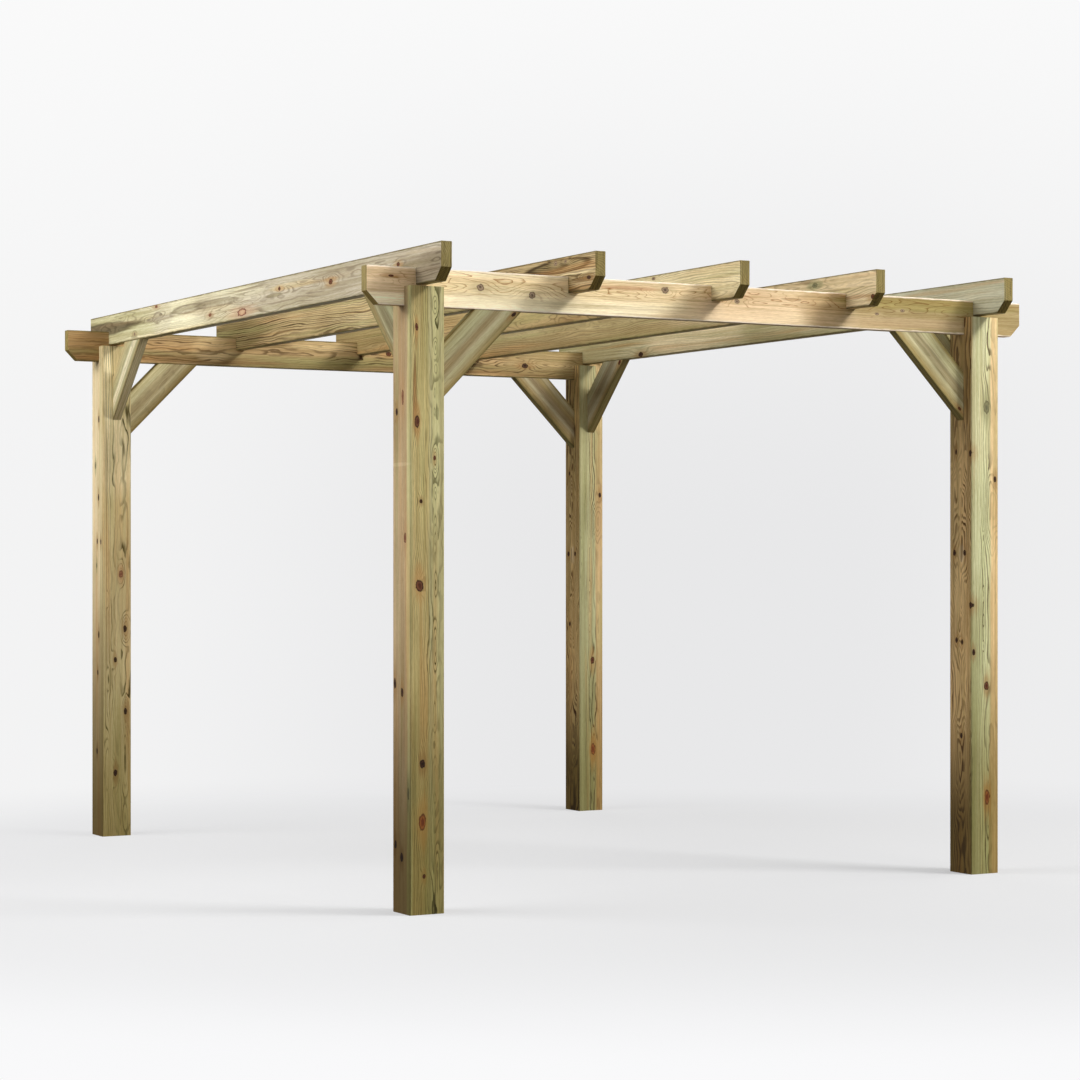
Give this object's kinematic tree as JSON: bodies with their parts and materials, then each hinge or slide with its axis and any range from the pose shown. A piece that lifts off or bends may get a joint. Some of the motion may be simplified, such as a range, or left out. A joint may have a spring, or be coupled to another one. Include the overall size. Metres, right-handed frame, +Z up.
{
  "type": "wooden pergola",
  "caption": "Open timber pergola: square posts carry slotted-in beams, notched cross rafters with clipped ends, and diagonal knee braces.",
  "frame": {"origin": "on the ground, at the middle of the rectangle of posts, which is the bottom centre of the bounding box", "axes": "+Z up; +X along the beams, from the left posts to the right posts; +Y along the rafters, from the front beam to the back beam"},
  "size_m": [3, 3.6, 2.424],
  "materials": {
    "post_timber": "pressure-treated sawn softwood, matt",
    "beam_timber": "pressure-treated planed softwood, matt",
    "rafter_timber": "pressure-treated planed softwood, matt",
    "brace_timber": "pressure-treated planed softwood, matt, weathered green-grey"
  },
  "bodies": {
    "root": {"beam_back": "beam_timber", "beam_brace_back_left": "brace_timber", "beam_brace_back_right": "brace_timber", "beam_brace_front_left": "brace_timber", "beam_brace_front_right": "brace_timber", "beam_front": "beam_timber", "post_back_left": "post_timber", "post_back_right": "post_timber", "post_front_left": "post_timber", "post_front_right": "post_timber", "rafter_1": "rafter_timber", "rafter_2": "rafter_timber", "rafter_3": "rafter_timber", "rafter_4": "rafter_timber", "rafter_5": "rafter_timber", "rafter_brace_back_left": "brace_timber", "rafter_brace_back_right": "brace_timber", "rafter_brace_front_left": "brace_timber", "rafter_brace_front_right": "brace_timber"}
  },
  "joints": []
}
